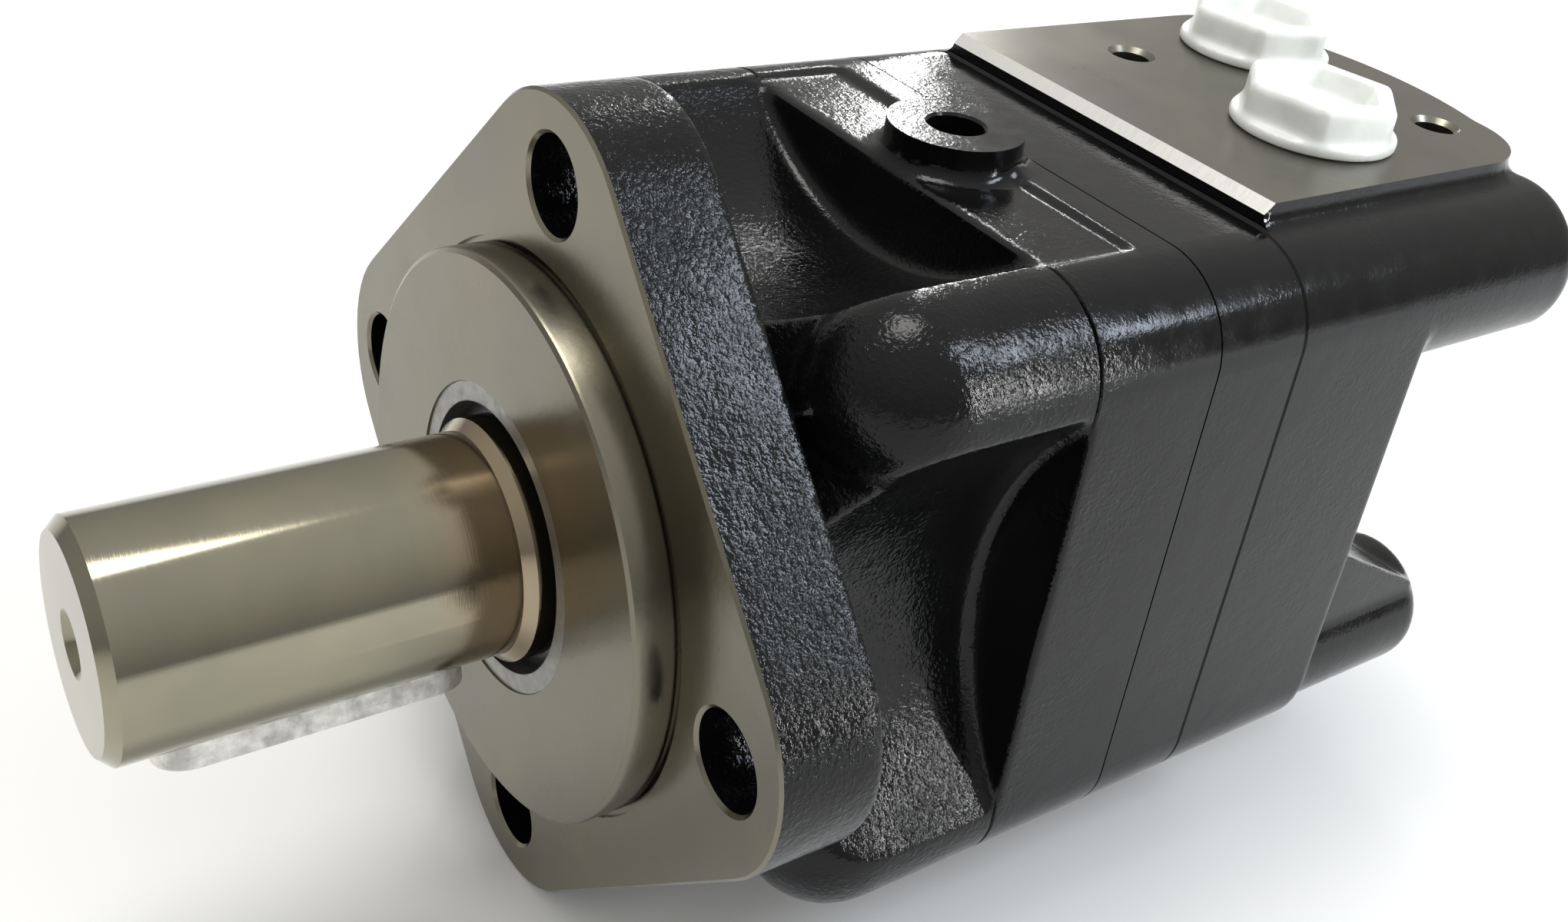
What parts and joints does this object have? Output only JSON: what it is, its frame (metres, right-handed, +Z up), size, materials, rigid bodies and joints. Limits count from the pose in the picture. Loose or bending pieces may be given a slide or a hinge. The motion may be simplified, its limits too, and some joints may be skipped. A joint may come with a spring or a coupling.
{
  "type": "hydraulic motor",
  "caption": "Orbital hydraulic motor with a square pilot flange, keyed shaft, cast housing, gear ring and a port block with two plugged ports.",
  "frame": {"origin": "centre of the flange's mounting face, on the shaft axis", "axes": "-Y along the shaft towards its free end, +Y to the rear of the body, +Z up through the port pad, +X to the side"},
  "size_m": [0.1306, 0.232, 0.1306],
  "materials": {
    "black_paint": "gloss",
    "ground_steel": "polished",
    "key_steel": "satin",
    "white_plastic": "satin",
    "black_rubber": "matte",
    "zinc_steel": "satin",
    "cage_steel": "satin",
    "plain_steel": "satin",
    "hardened_steel": "polished"
  },
  "bodies": {
    "housing": {"front_housing": "black_paint", "gear_ring": "black_paint", "rear_housing": "black_paint", "wear_plate": "hardened_steel", "channel_plate": "hardened_steel", "dust_seal": "black_rubber", "seal_backup_washer": "plain_steel", "shaft_seal": "black_rubber", "bearing_nut": "plain_steel", "front_bearing_outer_race": "hardened_steel", "rear_bearing_outer_race": "hardened_steel", "balance_plate": "hardened_steel", "balance_o_ring": "black_rubber", "balance_spring": "plain_steel", "case_o_ring_front": "black_rubber", "case_o_ring_rear": "black_rubber", "case_bolts": "zinc_steel", "check_plugs": "plain_steel"},
    "shaft": {"output_shaft": "ground_steel", "shaft_key": "key_steel", "front_bearing_inner_race": "hardened_steel", "rear_bearing_inner_race": "hardened_steel"},
    "front_rollers": {"front_bearing_cage": "cage_steel", "front_bearing_rollers": "hardened_steel"},
    "rear_rollers": {"rear_bearing_cage": "cage_steel", "rear_bearing_rollers": "hardened_steel"},
    "orbit": {"cardan_spacer": "hardened_steel"},
    "rotor": {"rotor": "hardened_steel"},
    "cardan": {"cardan_shaft": "hardened_steel"},
    "valve_drive": {"valve_drive": "hardened_steel"},
    "disc_valve": {"disc_valve": "hardened_steel"},
    "plug_a": {"port_plug_a": "white_plastic"},
    "plug_b": {"port_plug_b": "white_plastic"},
    "ball_a": {"check_ball_a": "hardened_steel"},
    "ball_b": {"check_ball_b": "hardened_steel"},
    "roller_1": {"geroler_roller_1": "hardened_steel"},
    "roller_2": {"geroler_roller_2": "hardened_steel"},
    "roller_3": {"geroler_roller_3": "hardened_steel"},
    "roller_4": {"geroler_roller_4": "hardened_steel"},
    "roller_5": {"geroler_roller_5": "hardened_steel"},
    "roller_6": {"geroler_roller_6": "hardened_steel"},
    "roller_7": {"geroler_roller_7": "hardened_steel"}
  },
  "joints": [
    {"name": "shaft_spin", "type": "hinge", "parent": "housing", "child": "shaft", "pos_m": [0, 0, 0], "axis": [0, 1, 0], "continuous": true},
    {"name": "front_cage_spin", "type": "hinge", "parent": "housing", "child": "front_rollers", "pos_m": [0, 0.021, 0], "axis": [0, 1, 0], "continuous": true},
    {"name": "rear_cage_spin", "type": "hinge", "parent": "housing", "child": "rear_rollers", "pos_m": [0, 0.0535, 0], "axis": [0, 1, 0], "continuous": true},
    {"name": "rotor_orbit", "type": "hinge", "parent": "housing", "child": "orbit", "pos_m": [0, 0.0867, 0], "axis": [0, 1, 0], "continuous": true},
    {"name": "rotor_spin", "type": "hinge", "parent": "orbit", "child": "rotor", "pos_m": [0.0026, 0.0862, 0], "axis": [0, 1, 0], "continuous": true},
    {"name": "cardan_spin", "type": "hinge", "parent": "orbit", "child": "cardan", "pos_m": [0, 0.031, 0], "axis": [0.0505, 0.9987, 0], "continuous": true},
    {"name": "valve_drive_spin", "type": "hinge", "parent": "orbit", "child": "valve_drive", "pos_m": [0.0026, 0.0909, 0], "axis": [-0.1547, 0.988, 0], "continuous": true},
    {"name": "disc_valve_spin", "type": "hinge", "parent": "housing", "child": "disc_valve", "pos_m": [0, 0.1067, 0], "axis": [0, 1, 0], "continuous": true},
    {"name": "roller_1_spin", "type": "hinge", "parent": "housing", "child": "roller_1", "pos_m": [0.033, 0.0862, 0], "axis": [0, 1, 0], "continuous": true},
    {"name": "roller_2_spin", "type": "hinge", "parent": "housing", "child": "roller_2", "pos_m": [0.02058, 0.0862, 0.0258], "axis": [0, 1, 0], "continuous": true},
    {"name": "roller_3_spin", "type": "hinge", "parent": "housing", "child": "roller_3", "pos_m": [-0.00734, 0.0862, 0.03217], "axis": [0, 1, 0], "continuous": true},
    {"name": "roller_4_spin", "type": "hinge", "parent": "housing", "child": "roller_4", "pos_m": [-0.02973, 0.0862, 0.01432], "axis": [0, 1, 0], "continuous": true},
    {"name": "roller_5_spin", "type": "hinge", "parent": "housing", "child": "roller_5", "pos_m": [-0.02973, 0.0862, -0.01432], "axis": [0, 1, 0], "continuous": true},
    {"name": "roller_6_spin", "type": "hinge", "parent": "housing", "child": "roller_6", "pos_m": [-0.00734, 0.0862, -0.03217], "axis": [0, 1, 0], "continuous": true},
    {"name": "roller_7_spin", "type": "hinge", "parent": "housing", "child": "roller_7", "pos_m": [0.02058, 0.0862, -0.0258], "axis": [0, 1, 0], "continuous": true},
    {"name": "port_plug_a_lift", "type": "slide", "parent": "housing", "child": "plug_a", "axis": [0, 0, 1], "range_m": [0, 0.03]},
    {"name": "port_plug_b_lift", "type": "slide", "parent": "housing", "child": "plug_b", "axis": [0, 0, 1], "range_m": [0, 0.03]},
    {"name": "check_ball_a_lift", "type": "slide", "parent": "housing", "child": "ball_a", "axis": [0, 1, 0], "range_m": [0, 0.0007]},
    {"name": "check_ball_b_lift", "type": "slide", "parent": "housing", "child": "ball_b", "axis": [0, 1, 0], "range_m": [0, 0.0007]}
  ],
  "couplings": [
    {"joint": "front_cage_spin", "follows": "shaft_spin", "ratio": 0.4397},
    {"joint": "rear_cage_spin", "follows": "shaft_spin", "ratio": 0.4377},
    {"joint": "rotor_orbit", "follows": "shaft_spin", "ratio": -6},
    {"joint": "rotor_spin", "follows": "shaft_spin", "ratio": 7},
    {"joint": "cardan_spin", "follows": "shaft_spin", "ratio": 7},
    {"joint": "valve_drive_spin", "follows": "shaft_spin", "ratio": 7},
    {"joint": "disc_valve_spin", "follows": "shaft_spin", "ratio": 1},
    {"joint": "roller_1_spin", "follows": "shaft_spin", "ratio": -4.0769},
    {"joint": "roller_2_spin", "follows": "shaft_spin", "ratio": -4.0769},
    {"joint": "roller_3_spin", "follows": "shaft_spin", "ratio": -4.0769},
    {"joint": "roller_4_spin", "follows": "shaft_spin", "ratio": -4.0769},
    {"joint": "roller_5_spin", "follows": "shaft_spin", "ratio": -4.0769},
    {"joint": "roller_6_spin", "follows": "shaft_spin", "ratio": -4.0769},
    {"joint": "roller_7_spin", "follows": "shaft_spin", "ratio": -4.0769}
  ]
}
